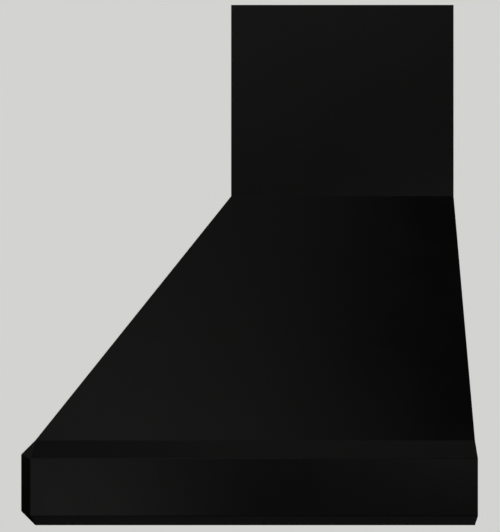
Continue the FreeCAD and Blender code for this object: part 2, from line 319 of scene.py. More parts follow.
class RotaryFigure(Effect):
    """The wandering figure of a peeled veneer, with short flecks and pin knots."""

    title = "rotary_figure"
    takes = {"Place": "Vector", "Grain": "Vector", "Shift": "Vector", "Ring Width": "Float", "Knots": "Float"}
    gives = {"Late Wood": "Float", "Fibre": "Float", "Knot": "Float", "Height": "Float"}
    waviness = 85.0 * MM        # how deep the knife's path runs through the rings
    ring_share = 0.15           # of the length along the grain, for rings and knots
    fibre_share = 0.03          # of the same, for fibres
    pore_share = 0.12           # of the same, for the short flecks
    knots_per_metre = 11.0

    def wire(self, wiring: Wiring, given: dict[str, Wire]) -> dict[str, Wire]:
        """The knife goes in and out of the rings, so they show as the contour lines of slow noise."""
        w = wiring
        stem, cross = w.split(w.vector("ADD", given["Place"], given["Shift"]), given["Grain"])
        drawn = w.draw_out(stem, cross, self.ring_share)
        streaked = w.draw_out(stem, cross, self.fibre_share)

        depth = w.math("MULTIPLY", w.noise(drawn, 6.5, 2.5, 0.45), self.waviness)
        phase = w.math("FRACT", w.math("DIVIDE", depth, given["Ring Width"]))
        late = w.math("MULTIPLY", w.ease(phase, 0.30, 0.92), w.ease(phase, 0.92, 1.0, 1.0, 0.0))

        fine = w.noise(streaked, 1400.0, 2.0, 0.6)
        broad = w.noise(streaked, 210.0, 3.0, 0.6)
        pores = w.noise(w.draw_out(stem, cross, self.pore_share), 950.0, 1.0)
        fleck = w.ease(pores, 0.62, 0.74)
        fibre = w.math("MULTIPLY_ADD", fleck, -0.35, w.between(0.5, fine, broad))

        cells = {"Vector": drawn, "Scale": self.knots_per_metre}
        cell = w.add("ShaderNodeTexVoronoi", {"feature": "F1"}, **cells)
        knot = w.math("MULTIPLY", w.ease(cell.outputs["Distance"], 0.055, 0.03), given["Knots"])
        height = w.math("MULTIPLY_ADD", fleck, -0.3, w.math("MULTIPLY", fine, 0.6))
        return {"Late Wood": late, "Fibre": fibre, "Knot": knot, "Height": height}


class VeneerLayers(Effect):
    """Plies on the edges of a plywood board, told from its faces by the surface's direction."""

    title = "veneer_layers"
    takes = {"Place": "Vector", "Normal": "Vector", "Through": "Vector", "Ply": "Float"}
    gives = {"Edge": "Float", "Cross Ply": "Float", "Glue Line": "Float"}
    waver = 0.4 * MM            # how far a ply strays from its level

    def wire(self, wiring: Wiring, given: dict[str, Wire]) -> dict[str, Wire]:
        """Plies alternate through the thickness, with a thin glue line between two of them."""
        w = wiring
        facing = w.math("ABSOLUTE", w.vector("DOT_PRODUCT", given["Normal"], given["Through"]))
        edge = w.ease(facing, 0.93, 0.80)
        depth = w.vector("DOT_PRODUCT", given["Place"], given["Through"])
        stray = w.math("SUBTRACT", w.noise(given["Place"], 45.0, 2.0), 0.5)
        depth = w.math("MULTIPLY_ADD", stray, self.waver, depth)
        count = w.math("DIVIDE", depth, given["Ply"])
        pair = w.math("FRACT", w.math("MULTIPLY", count, 0.5))
        cross = w.math("GREATER_THAN", pair, 0.5)
        from_line = w.math("ABSOLUTE", w.math("SUBTRACT", w.math("FRACT", count), 0.5))
        glue = w.ease(from_line, 0.43, 0.49)
        return {"Edge": edge, "Cross Ply": cross, "Glue Line": w.math("MULTIPLY", glue, edge)}


class PaintReach(Effect):
    """Where the paint lies: on the outer face and its arrises, and round the cover's lower rim."""

    title = "paint_reach"
    takes = {"Place": "Vector", "Outward": "Vector", "Face": "Float", "Lap": "Float", "Rim": "Float"}
    gives = {"Painted": "Float"}
    ragged = 5.0 * MM           # between the coat's furthest and shortest reach
    mist = 3.0 * MM             # the same for the fine spray over a lap
    rim_mist = 4.0 * MM         # the same over the rim
    lap_fade = 0.4 * MM
    rim_fade = 0.5 * MM

    def wire(self, wiring: Wiring, given: dict[str, Wire]) -> dict[str, Wire]:
        """The lap over an edge is ragged, and it thins out to a dry mist of spray."""
        w = wiring
        out = w.vector("DOT_PRODUCT", given["Place"], given["Outward"])
        depth = w.math("SUBTRACT", given["Face"], out)
        drips = w.math("SUBTRACT", w.noise(given["Place"], 85.0, 4.0, 0.62), 0.5)
        spray = w.math("SUBTRACT", w.noise(given["Place"], 1400.0, 1.0), 0.5)
        reach = w.math("MULTIPLY_ADD", drips, self.ragged, given["Lap"])
        reach = w.math("MULTIPLY_ADD", spray, self.mist, reach)
        lapped = w.ease(w.math("SUBTRACT", reach, depth), -self.lap_fade, self.lap_fade)
        level = w.add("ShaderNodeSeparateXYZ", Vector=given["Place"]).outputs["Z"]
        rim = w.math("MULTIPLY_ADD", drips, self.ragged, given["Rim"])
        rim = w.math("MULTIPLY_ADD", spray, self.rim_mist, rim)
        dipped = w.ease(w.math("SUBTRACT", rim, level), -self.rim_fade, self.rim_fade)
        return {"Painted": w.math("MAXIMUM", lapped, dipped)}


class SprayedFilm(Effect):
    """The skin of a sprayed and rubbed down coat: fine stipple, slow waves and buried grain."""

    title = "sprayed_film"
    takes = {"Place": "Vector", "Grain": "Vector"}
    gives = {"Height": "Float", "Cloud": "Float"}
    fibre_share = 0.02          # of the length along the grain, for the buried fibres

    def wire(self, wiring: Wiring, given: dict[str, Wire]) -> dict[str, Wire]:
        """Add the three reliefs, and give the slow clouds apart for the gloss."""
        w = wiring
        place = given["Place"]
        fibres = w.draw_out(*w.split(place, given["Grain"]), self.fibre_share)
        stipple = w.noise(place, 900.0, 2.0)
        buried = w.noise(fibres, 420.0, 2.0, 0.6)
        waves = w.noise(place, 22.0, 1.0)
        height = w.math("MULTIPLY_ADD", stipple, 0.35, w.math("MULTIPLY", buried, 0.4))
        height = w.math("MULTIPLY_ADD", waves, 0.8, height)
        return {"Height": height, "Cloud": w.noise(place, 7.0, 4.0, 0.6)}


class WorkshopDust(Effect):
    """Sanding dust that settles on what faces up, and the marks of handling."""

    title = "workshop_dust"
    takes = {"Place": "Vector", "Normal": "Vector"}
    gives = {"Dust": "Float", "Rub": "Float"}

    def wire(self, wiring: Wiring, given: dict[str, Wire]) -> dict[str, Wire]:
        """Dust lies in patches on what faces up, and rubs are uneven blotches."""
        w = wiring
        up = w.add("ShaderNodeSeparateXYZ", Vector=given["Normal"]).outputs["Z"]
        patch = w.noise(given["Place"], 30.0, 5.0, 0.65)
        dust = w.math("MULTIPLY", w.ease(up, 0.35, 0.95), w.ease(patch, 0.30, 0.75))
        rub = w.ease(w.noise(given["Place"], 11.0, 6.0, 0.7), 0.56, 0.78)
        return {"Dust": dust, "Rub": rub}


@dataclass(frozen=True)
class Species:
    """The colours of one kind of wood, and how its rings and knots show on a board."""

    early: Point
    late: Point
    knot: Point
    ring_width: float
    contrast: float     # between early and late wood, from 0 to 1
    knots: float        # how strongly knots show, from 0 to 1


PINE = Species(
    early=(0.66, 0.45, 0.25), late=(0.47, 0.25, 0.10), knot=(0.16, 0.065, 0.025),
    ring_width=3.4 * MM, contrast=0.75, knots=1.0,
)
BIRCH = Species(
    early=(0.67, 0.52, 0.355), late=(0.56, 0.405, 0.25), knot=(0.30, 0.17, 0.08),
    ring_width=6.5 * MM, contrast=0.42, knots=0.8,
)


@dataclass(frozen=True)
class OuterFace:
    """The flat outer face of a painted board: where it lies and how far its paint laps round."""

    outward: Point
    distance: float     # from the origin, along outward
    lap: float          # how deep behind the face the paint reaches
    rim: float          # the level below which all is painted


def middle(node: str) -> Vector:
    """The middle of a node's box."""
    low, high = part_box(node)
    return (low + high) / 2


def rgba(colour: Point) -> tuple[float, float, float, float]:
    """Give a colour its alpha."""
    return (*colour, 1.0)


@dataclass(frozen=True)
class BoardFinish:
    """Bare solid wood or plywood, with satin black paint over whatever the spray reached."""

    name: str
    species: Species
    grain: Point
    seed: int
    through: Point | None = None        # across the plies, where it is plywood
    ply: float = 1.36 * MM
    paint: OuterFace | None = None
    black: Point = (0.00065, 0.00065, 0.00065)
    cloudy: float = 1.25                # the paint's lightest clouds against its black
    paint_roughness: float = 0.28
    paint_specular: float = 0.14
    wood_specular: float = 0.35
    glue: Point = (0.07, 0.035, 0.015)
    wood_dust: Point = (0.74, 0.60, 0.43)
    hand_marks: Point = (0.20, 0.13, 0.08)
    paint_dust: Point = (0.5, 0.47, 0.42)

    def wood(self, w: Wiring, place: Wire, normal: Wire) -> dict[str, Wire]:
        """Wire the bare timber.

        Args:
            w: the material's tree.
            place: the point on the board.
            normal: the surface's direction there.

        Returns:
            Its colour, roughness and height.
        """
        chance = random.Random(self.seed)
        kind = self.species
        cut = {"Place": place, "Grain": self.grain, "Ring_Width": kind.ring_width, "Knots": kind.knots}
        if self.through is None:
            pith = tuple(-c + chance.choice((-1, 1)) * chance.uniform(*PITH_OFF) for c in middle(self.name))
            figure = TimberGrain().place(w, Pith=pith, **cut)
        else:
            shift = tuple(chance.uniform(-SHEET_SHIFT, SHEET_SHIFT) for _ in range(3))
            figure = RotaryFigure().place(w, Shift=shift, **cut)
        late = w.math("MULTIPLY", figure["Late Wood"], kind.contrast)
        colour = w.mix(late, rgba(kind.early), rgba(kind.late))
        colour = w.mix(w.ease(figure["Fibre"], 0.25, 0.75, 0.30, 0.0), colour, rgba(kind.late))
        tone = w.noise(place, 5.0, 3.0)
        colour = w.mix(w.ease(tone, 0.3, 0.7, 0.0, 0.22), colour, rgba(kind.late))
        colour = w.mix(figure["Knot"], colour, rgba(kind.knot))
        height = figure["Height"]
        if self.through is not None:
            layers = VeneerLayers().place(w, Place=place, Normal=normal, Through=self.through, Ply=self.ply)
            end_grain = tuple(c * 0.56 for c in kind.late)
            long_grain = tuple(min(1.0, c * 1.06) for c in kind.early)
            ends = w.mix(layers["Cross Ply"], rgba(long_grain), rgba(end_grain))
            ends = w.mix(w.ease(figure["Fibre"], 0.3, 0.7, 0.45, 0.0), ends, rgba(end_grain))
            colour = w.mix(layers["Edge"], colour, ends)
            colour = w.mix(w.math("MULTIPLY", layers["Glue Line"], 0.75), colour, rgba(self.glue))
            height = w.math("MULTIPLY_ADD", layers["Glue Line"], -0.5, height)
        marks = WorkshopDust().place(w, Place=place, Normal=normal)
        colour = w.mix(w.math("MULTIPLY", marks["Dust"], 0.35), colour, rgba(self.wood_dust))
        colour = w.mix(w.math("MULTIPLY", marks["Rub"], 0.16), colour, rgba(self.hand_marks))
        rough = w.ease(figure["Fibre"], 0.2, 0.8, 0.72, 0.56)
        return {"colour": colour, "rough": rough, "height": height}

    def coat(self, w: Wiring, place: Wire, normal: Wire, bare: dict[str, Wire]) -> dict[str, Wire]:
        """Lay the paint over the bare timber where the spray reached it.

        Args:
            w: the material's tree.
            place: the point on the board.
            normal: the surface's direction there.
            bare: the timber's colour, roughness and height.

        Returns:
            The same three with the paint on.
        """
        face = self.paint
        reach = PaintReach().place(
            w, Place=place, Outward=face.outward, Face=face.distance, Lap=face.lap, Rim=face.rim,
        )
        film = SprayedFilm().place(w, Place=place, Grain=self.grain)
        marks = WorkshopDust().place(w, Place=place, Normal=normal)
        lighter = tuple(c * self.cloudy for c in self.black)
        black = w.mix(w.ease(film["Cloud"], 0.3, 0.7), rgba(self.black), rgba(lighter))
        black = w.mix(w.math("MULTIPLY", marks["Dust"], 0.0012), black, rgba(self.paint_dust))
        satin = w.ease(
            film["Cloud"], 0.25, 0.75, self.paint_roughness - 0.03, self.paint_roughness + 0.03,
        )
        satin = w.math("MULTIPLY_ADD", marks["Rub"], 0.03, satin)
        skin = w.math("MULTIPLY_ADD", film["Height"], 0.25, 0.6)
        return {
            "colour": w.mix(reach["Painted"], bare["colour"], black),
            "rough": w.between(reach["Painted"], bare["rough"], satin),
            "height": w.between(reach["Painted"], bare["height"], skin),
        }

    def build(self) -> bpy.types.Material:
        """Make the material.

        Returns:
            The board's material.
        """
        material = bpy.data.materials.new("finish_" + self.name)
        material.use_nodes = True
        w = Wiring(material.node_tree)
        shader = material.node_tree.nodes["Principled BSDF"]
        where = w.add("ShaderNodeTexCoord")
        place, normal = where.outputs["Object"], where.outputs["Normal"]
        look = self.wood(w, place, normal)
        specular = self.wood_specular
        if self.paint:
            look = self.coat(w, place, normal, look)
            specular = self.paint_specular
        relief = w.add("ShaderNodeBump", Strength=0.35, Distance=0.12 * MM, Height=look["height"])
        shader.inputs["Specular IOR Level"].default_value = specular
        w.feed(shader.inputs["Base Color"], look["colour"])
        w.feed(shader.inputs["Roughness"], look["rough"])
        w.feed(shader.inputs["Normal"], relief.outputs["Normal"])
        return material


@dataclass(frozen=True)
class ZincFinish:
    """Bright zinc plating, slightly mottled and dulled where a driver has turned."""

    name: str = "bright_zinc"
    light: Point = (0.66, 0.67, 0.69)
    dull: Point = (0.42, 0.43, 0.45)

    def build(self) -> bpy.types.Material:
        """Make the material, or find it if it is made.

        Returns:
            The screws' material.
        """
        material = bpy.data.materials.get(self.name)
        if material:
            return material
        material = bpy.data.materials.new(self.name)
        material.use_nodes = True
        w = Wiring(material.node_tree)
        shader = material.node_tree.nodes["Principled BSDF"]
        place = w.add("ShaderNodeTexCoord").outputs["Object"]
        mottle = w.noise(place, 700.0, 4.0, 0.6)
        scratch = w.noise(w.vector("MULTIPLY", place, (1.0, 1.0, 7.0)), 2600.0, 2.0)
        shader.inputs["Metallic"].default_value = 1.0
        colour = w.mix(w.ease(mottle, 0.3, 0.7), rgba(self.dull), rgba(self.light))
        w.feed(shader.inputs["Base Color"], colour)
        w.feed(shader.inputs["Roughness"], w.ease(mottle, 0.3, 0.7, 0.42, 0.26))
        relief = w.add("ShaderNodeBump", Strength=0.2, Distance=0.03 * MM, Height=scratch)
        w.feed(shader.inputs["Normal"], relief.outputs["Normal"])
        return material


def new_object(name: str, bm: bmesh.types.BMesh) -> bpy.types.Object:
    """Turn a bmesh into an object in the scene and free it.

    Args:
        name: the object's name.
        bm: its geometry, in the cover's frame.

    Returns:
        The object.
    """
    mesh = bpy.data.meshes.new(name)
    bm.normal_update()
    bm.to_mesh(mesh)
    bm.free()
    thing = bpy.data.objects.new(name, mesh)
    bpy.context.scene.collection.objects.link(thing)
    return thing


SHORTEST_ARRIS = 4.0 * MM           # shorter edges belong to drilled holes
ARRIS_ANGLE = math.radians(20)      # an edge that turns less isn't an arris
SHARP_ANGLE = math.radians(34)      # an edge that turns more looks sharp


class Shaping(Enum):
    """Small jobs on a mesh that geometry nodes do."""

    MARK_ARRISES = "mark_arrises"
    OWN_NORMALS = "own_normals"

    def tree(self) -> bpy.types.NodeTree:
        """Make the job's node group, or find it if it is made.

        Returns:
            A group from geometry to geometry.
        """
        tree = bpy.data.node_groups.get(self.value)
        if tree:
            return tree
        tree = bpy.data.node_groups.new(self.value, "GeometryNodeTree")
        for way in ("INPUT", "OUTPUT"):
            tree.interface.new_socket("Mesh", in_out=way, socket_type="NodeSocketGeometry")
        w = Wiring(tree)
        mesh = w.add("NodeGroupInput").outputs["Mesh"]
        crease = w.add("GeometryNodeInputMeshEdgeAngle").outputs["Unsigned Angle"]
        if self is Shaping.MARK_ARRISES:
            ends = w.add("GeometryNodeInputMeshEdgeVertices").outputs
            length = w.vector("LENGTH", w.vector("SUBTRACT", ends["Position 1"], ends["Position 2"]))
            arris = w.math(
                "MULTIPLY",
                w.math("GREATER_THAN", length, SHORTEST_ARRIS),
                w.math("GREATER_THAN", crease, ARRIS_ANGLE),
            )
            store = {"data_type": "FLOAT", "domain": "EDGE"}
            done = w.add(
                "GeometryNodeStoreNamedAttribute", store,
                Geometry=mesh, Name="bevel_weight_edge", Value=arris,
            )
        else:
            sharp = w.math("GREATER_THAN", crease, SHARP_ANGLE)
            done = w.add(
                "GeometryNodeSetMeshNormal", {"mode": "SHARPNESS"},
                Mesh=mesh, Remove_Custom=True, Edge_Sharpness=sharp, Face_Sharpness=False,
            )
        w.feed(w.add("NodeGroupOutput").inputs["Mesh"], done.outputs[0])
        return tree

    def apply_to(self, thing: bpy.types.Object) -> None:
        """Add the job to an object's modifiers."""
        job = thing.modifiers.new(self.value, "NODES")
        job.node_group = self.tree()


def shade(thing: bpy.types.Object) -> None:
    """Give a piece normals of its own: flat faces look flat, and small rounds turn smoothly.

    Args:
        thing: the piece.
    """
    Shaping.OWN_NORMALS.apply_to(thing)
    even = thing.modifiers.new("flat_stays_flat", "WEIGHTED_NORMAL")
    even.keep_sharp = True


@dataclass(frozen=True)
class Plane:
    """A plane through a point, with the direction that leads out of the cover."""

    outward: Point
    point: Point


@dataclass(frozen=True)
class SandingForm:
    """A convex form whose arrises are rounded. A board that is cut to it has its own arrises sanded.

    Boards that meet in a mitre are cut to one form, so their joint stays closed on the round.
    """

    name: str
    planes: tuple[Plane, ...]
    radius: float
    proud: float = 0.01 * MM        # over the boards' flats, so that only arrises are cut
    smallest_edge: float = 0.1 * MM
    rounds: int = 4
    block: float = 4.0              # side of the block that it is cut from

    def build(self) -> bpy.types.Object:
        """Cut the form out of a block and hide it.

        Returns:
            The form, which rides with the cover and isn't shown.
        """
        bm = bmesh.new()
        bmesh.ops.create_cube(bm, size=self.block)
        for plane in self.planes:
            outward = Vector(plane.outward).normalized()
            cut = bmesh.ops.bisect_plane(
                bm, geom=bm.verts[:] + bm.edges[:] + bm.faces[:], dist=1e-7,
                plane_co=Vector(plane.point) + outward * self.proud, plane_no=outward, clear_outer=True,
            )
            rim = [e for e in cut["geom_cut"] if isinstance(e, bmesh.types.BMEdge)]
            bmesh.ops.contextual_create(bm, geom=rim)
        bmesh.ops.remove_doubles(bm, verts=bm.verts[:], dist=self.smallest_edge)
        bmesh.ops.bevel(
            bm, geom=bm.edges[:], offset=self.radius, offset_type="OFFSET",
            segments=self.rounds, profile=0.5, affect="EDGES", clamp_overlap=True,
        )
        bmesh.ops.recalc_face_normals(bm, faces=bm.faces[:])
        form = new_object(self.name, bm)
        form.hide_render = True
        form.display_type = "WIRE"
        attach(form, COVER_BODY)
        return form


class ScrewHead(Enum):
    """Shapes of screw head, as points of half a section: radius and height over the seat, in mm."""

    PAN = ((0.0, 2.5), (1.9, 2.42), (3.1, 2.05), (3.8, 1.45), (4.1, 0.75), (4.15, 0.15), (4.0, 0.0))
    FLUSH = ((0.0, -0.05), (3.9, -0.05), (4.15, -0.12), (4.2, -0.3), (4.1, -0.45), (2.15, -2.2))


@dataclass(frozen=True)
class WoodScrew:
    """A threaded wood screw with a cross recess, built once and driven in many places."""

    head: ScrewHead
    length: float
    shank: float = 2.05 * MM
    core: float = 1.4 * MM
    pitch: float = 2.0 * MM
    neck: float = 0.4 * MM          # between the head and the thread
    tip: float = 5.0 * MM           # length of the point
    blunt: float = 0.04             # the point's end, as a share of the thread's radius
    recess_width: float = 4.4 * MM
    recess_blade: float = 1.05 * MM
    recess_depth: float = 1.9 * MM
    recess_foot: tuple[float, float] = (0.42, 0.72)     # shares of width and blade at its bottom
    recess_mouth: tuple[float, float] = (1.25, 1.1)     # the same at the cutter's top
    cutter_rise: float = 1.0 * MM   # of the cutter over the head
    sides: int = 20
    steps: int = 4                  # rings to one turn of the thread

    def rings(self) -> list[tuple[float, float]]:
        """Radius and height of every ring, with a negative radius where the thread runs.

        Returns:
            The rings from the top of the head down to the tip.
        """
        rings = [(r * MM, z * MM) for r, z in self.head.value[1:]]
        start = rings[-1][1] - self.neck
        rings.append((self.core, start))
        count = int((self.length + start) / self.pitch * self.steps)
        for index in range(1, count):
            rings.append((-self.core, start - index * self.pitch / self.steps))
        return rings

    def radius_at(self, radius: float, height: float, turn: float) -> float:
        """The surface's radius at one place, thread and point included.

        Args:
            radius: the ring's radius, negative where the thread runs.
            height: the ring's height.
            turn: the share of the way round.

        Returns:
            The radius.
        """
        if radius >= 0:
            return radius
        wave = (height / self.pitch + turn) % 1.0
        ridge = max(0.0, 1.0 - abs(wave - 0.5) * 4.0)
        left = max(self.blunt, min(1.0, (self.length + height) / self.tip))
        return (self.core + (self.shank - self.core) * ridge) * left

    def body(self) -> bmesh.types.BMesh:
        """Skin the rings, with the head up and the seat at the origin.

        Returns:
            The screw without its recess.
        """
        bm = bmesh.new()
        loops = []
        for radius, height in self.rings():
            loop = []
            for side in range(self.sides):
                turn = side / self.sides
                reach = self.radius_at(radius, height, turn)
                angle = 2 * math.pi * turn
                loop.append(bm.verts.new((reach * math.cos(angle), reach * math.sin(angle), height)))
            loops.append(loop)
        for upper, lower in zip(loops, loops[1:]):
            for side in range(self.sides):
                after = (side + 1) % self.sides
                bm.faces.new((upper[side], lower[side], lower[after], upper[after]))
        crown = bm.verts.new((0, 0, self.head.value[0][1] * MM))
        point = bm.verts.new((0, 0, -self.length))
        for side in range(self.sides):
            after = (side + 1) % self.sides
            bm.faces.new((crown, loops[0][side], loops[0][after]))
            bm.faces.new((point, loops[-1][after], loops[-1][side]))
        bmesh.ops.recalc_face_normals(bm, faces=bm.faces[:])
        return bm

    def blade(self, angle: float) -> bpy.types.Object:
        """One tapered wing of the cutter that sinks the recess.

        Args:
            angle: its turn about the screw's axis.

        Returns:
            The cutter.
        """
        bm = bmesh.new()
        bmesh.ops.create_cube(bm, size=1.0)
        top = self.head.value[0][1] * MM + self.cutter_rise
        bottom = self.head.value[0][1] * MM - self.recess_depth
        for vert in bm.verts:
            low = vert.co.z < 0
            wide, thick = self.recess_foot if low else self.recess_mouth
            vert.co.x *= self.recess_width * wide
            vert.co.y *= self.recess_blade * thick
            vert.co.z = bottom if low else top
        bmesh.ops.rotate(bm, verts=bm.verts[:], matrix=Matrix.Rotation(angle, 3, "Z"))
        return new_object("recess_blade", bm)

    def mesh(self) -> bpy.types.Mesh:
        """Sink the recess and keep the finished screw.

        Returns:
            The screw's mesh, seat at the origin and tip down.
        """
        key = f"screw_{self.head.name.lower()}_{self.length / MM:.0f}"
        if key in bpy.data.meshes:
            return bpy.data.meshes[key]
        screw = new_object("screw_blank", self.body())
        blades = [self.blade(angle) for angle in (0.0, math.pi / 2)]
        for blade in blades:
            cut = screw.modifiers.new("recess", "BOOLEAN")
            cut.operation = "DIFFERENCE"
            cut.solver = "EXACT"
            cut.object = blade
        seen = screw.evaluated_get(bpy.context.evaluated_depsgraph_get())
        mesh = bpy.data.meshes.new_from_object(seen)
        mesh.name = key
        for thing in (screw, *blades):
            bpy.data.objects.remove(thing)
        return mesh


@dataclass(frozen=True)
class Seat:
    """Where a screw is driven: the middle of its head's seat, and the way it goes."""

    point: Point
    into: Point


def drive(name: str, screw: WoodScrew, seats: list[Seat]) -> bpy.types.Object:
    """Drive copies of one screw.

    Args:
        name: the name of the piece that they make together.
        screw: the screw to copy.
        seats: where each one goes.

    Returns:
        The piece, riding with the cover.
    """
    chance = random.Random(name)
    master = screw.mesh()
    bm = bmesh.new()
    for seat in seats:
        turn = Matrix.Rotation(chance.uniform(0, math.pi), 4, "Z")
        lean = Vector((0, 0, -1)).rotation_difference(Vector(seat.into)).to_matrix().to_4x4()
        fresh = len(bm.verts)
        bm.from_mesh(master)
        bm.verts.ensure_lookup_table()
        moved = [bm.verts[i] for i in range(fresh, len(bm.verts))]
        bmesh.ops.transform(bm, matrix=Matrix.Translation(seat.point) @ lean @ turn, verts=moved)
    piece = new_object(name, bm)
    piece.data.materials.append(ZincFinish().build())
    shade(piece)
    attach(piece, COVER_BODY)
    return piece


def between(low: float, high: float, count: int, margin: float) -> list[float]:
    """Places spread evenly from one margin to the other.

    Args:
        low: where the run starts.
        high: where it ends.
        count: how many places there are.
        margin: what stays clear at both ends.

    Returns:
        The places.
    """
    step = (high - low - 2 * margin) / max(1, count - 1)
    return [low + margin + step * index for index in range(count)]


@dataclass
class SubAssembly:
    """Boards that are made up together, with their finish and their fixings."""

    arris: float = 0.7 * MM
    arris_steps: int = 3
    weld_gap: float = 0.005 * MM
    flat_angle: float = math.radians(0.5)   # faces that turn less are one flat
    pieces: list[str] = field(default_factory=list)

    def join_faces(self, node: str) -> bpy.types.Object:
        """Join a board's loose faces into one skin, with no cuts across its flats.

        Args:
            node: the board.

        Returns:
            Its object.
        """
        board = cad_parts[node]
        weld = board.modifiers.new("weld", "WELD")
        weld.merge_threshold = self.weld_gap
        flat = board.modifiers.new("flat_faces", "DECIMATE")
        flat.decimate_type = "DISSOLVE"
        flat.angle_limit = self.flat_angle
        return board

    def ease_arrises(self, node: str) -> None:
        """Take the sharp edges off a bare board.

        Args:
            node: the board.
        """
        board = self.join_faces(node)
        Shaping.MARK_ARRISES.apply_to(board)
        bevel = board.modifiers.new("arris", "BEVEL")
        bevel.width = self.arris
        bevel.segments = self.arris_steps
        bevel.limit_method = "WEIGHT"
        shade(board)

    def sand_to(self, node: str, form: bpy.types.Object) -> None:
        """Round a painted board's outer arrises to the form of the whole cover.

        Args:
            node: the board.
            form: what it is cut to.
        """
        board = self.join_faces(node)
        cut = board.modifiers.new("sanded", "BOOLEAN")
        cut.operation = "INTERSECT"
        cut.solver = "EXACT"
        cut.object = form
        shade(board)

    def dress(self, node: str, finish: BoardFinish) -> None:
        """Give a node its finish.

        Args:
            node: the board.
            finish: what it is made of and coated with.
        """
        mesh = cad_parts[node].data
        material = finish.build()
        for index in range(len(mesh.materials)):
            mesh.materials[index] = material
        self.pieces.append(node)

    def pine(self, node: str, grain: Grain) -> None:
        """Dress a node as a planed pine batten, out of a log that its name decides."""
        self.dress(node, BoardFinish(node, PINE, grain.value, seed=len(node) * 7 + ord(node[0])))
        self.ease_arrises(node)

    def plywood(self, node: str, grain: Grain, through: Grain, rim: float | None = None) -> None:
        """Dress a node as bare birch plywood.

        Args:
            node: the board.
            grain: the way of its face grain.
            through: the way through its plies.
            rim: the level that paint reaches from below, where it has any.
        """
        paint = None
        if rim is not None:
            paint = OuterFace(through.value, NO_LAP, 0.0, rim)
        finish = BoardFinish(
            node, BIRCH, grain.value, seed=len(node), through=through.value, paint=paint,
        )
        self.dress(node, finish)
        self.ease_arrises(node)

    def screws(self, name: str, screw: WoodScrew, seats: list[Seat]) -> None:
        """Drive a set of screws and note the piece."""
        drive(name, screw, seats)
        self.pieces.append(name)


@dataclass
class Shell:
    """The outer faces of the cover, read from the boards' boxes."""

    apron_side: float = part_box("apron_right")[1].x
    apron_front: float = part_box("apron_front")[0].y
    crown_side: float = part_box("canopy_right")[1].x
    crown_front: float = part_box("canopy_front")[0].y
    crown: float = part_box("canopy_right")[0].z
    foot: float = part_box("apron_right")[0].z
    chimney_side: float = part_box("chimney_right")[1].x
    chimney_front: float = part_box("chimney_front")[0].y
    bend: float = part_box("chimney_right")[0].z
    top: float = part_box("chimney_right")[1].z
    past: float = 60.0 * MM         # how far a form runs past its boards
    past_rims: float = 10.0 * MM    # the same over and under the apron
    panel_arris: float = 1.2 * MM
    apron_arris: float = 0.9 * MM

    def slope_side(self) -> Vector:
        """Outward direction of the canopy's right side."""
        return Vector((self.bend - self.crown, 0, self.crown_side - self.chimney_side)).normalized()

    def slope_front(self) -> Vector:
        """Outward direction of the canopy's front."""
        return Vector((0, self.crown - self.bend, self.chimney_front - self.crown_front)).normalized()

    def box_planes(self, low: float, high: float) -> list[Plane]:
        """The planes that close a form at the wall, above and below.

        Args:
            low: the level of the lower one.
            high: the level of the upper one.

        Returns:
            The three planes.
        """
        return [
            Plane((0, 1, 0), (0, self.past, 0)),
            Plane((0, 0, 1), (0, 0, high)),
            Plane((0, 0, -1), (0, 0, low)),
        ]

    def canopy_form(self) -> SandingForm:
        """The form for the canopy's hips.

        Returns:
            The form, not built yet.
        """
        side, front = self.slope_side(), self.slope_front()
        planes = self.box_planes(self.crown - self.past, self.bend + self.past)
        planes.append(Plane(tuple(side), (self.chimney_side, 0, self.bend)))
        planes.append(Plane((-side.x, 0, side.z), (-self.chimney_side, 0, self.bend)))
        planes.append(Plane(tuple(front), (0, self.chimney_front, self.bend)))
        return SandingForm("form_canopy", tuple(planes), self.panel_arris)

    def chimney_form(self) -> SandingForm:
        """The form for the chimney's corners and its top edge.

        Returns:
            The form, not built yet.
        """
        planes = self.box_planes(self.bend - self.past, self.top)
        planes.append(Plane((1, 0, 0), (self.chimney_side, 0, 0)))
        planes.append(Plane((-1, 0, 0), (-self.chimney_side, 0, 0)))
        planes.append(Plane((0, -1, 0), (0, self.chimney_front, 0)))
        return SandingForm("form_chimney", tuple(planes), self.panel_arris)

    def apron_form(self) -> SandingForm:
        """The form for the apron's bevels, corner chamfers and facets.

        Returns:
            The form, not built yet.
        """
        planes = self.box_planes(self.foot - self.past_rims, self.crown + self.past_rims)
        planes.append(Plane((0, -1, 0), (0, self.apron_front, 0)))
        for side in SIDES.values():
            planes.append(Plane((side, 0, 0), (side * self.apron_side, 0, 0)))
            planes.append(Plane((side, -1, 0), (side * self.crown_side, self.apron_front, 0)))
        for level, up in ((self.crown, 1), (self.foot, -1)):
            planes.append(Plane((0, -1, up), (0, self.crown_front, level)))
            for side in SIDES.values():
                planes.append(Plane((side, 0, up), (side * self.crown_side, 0, level)))
                corner = (side * self.crown_side, self.crown_front, level)
                planes.append(Plane((side, -1, up), corner))
        return SandingForm("form_apron", tuple(planes), self.apron_arris)


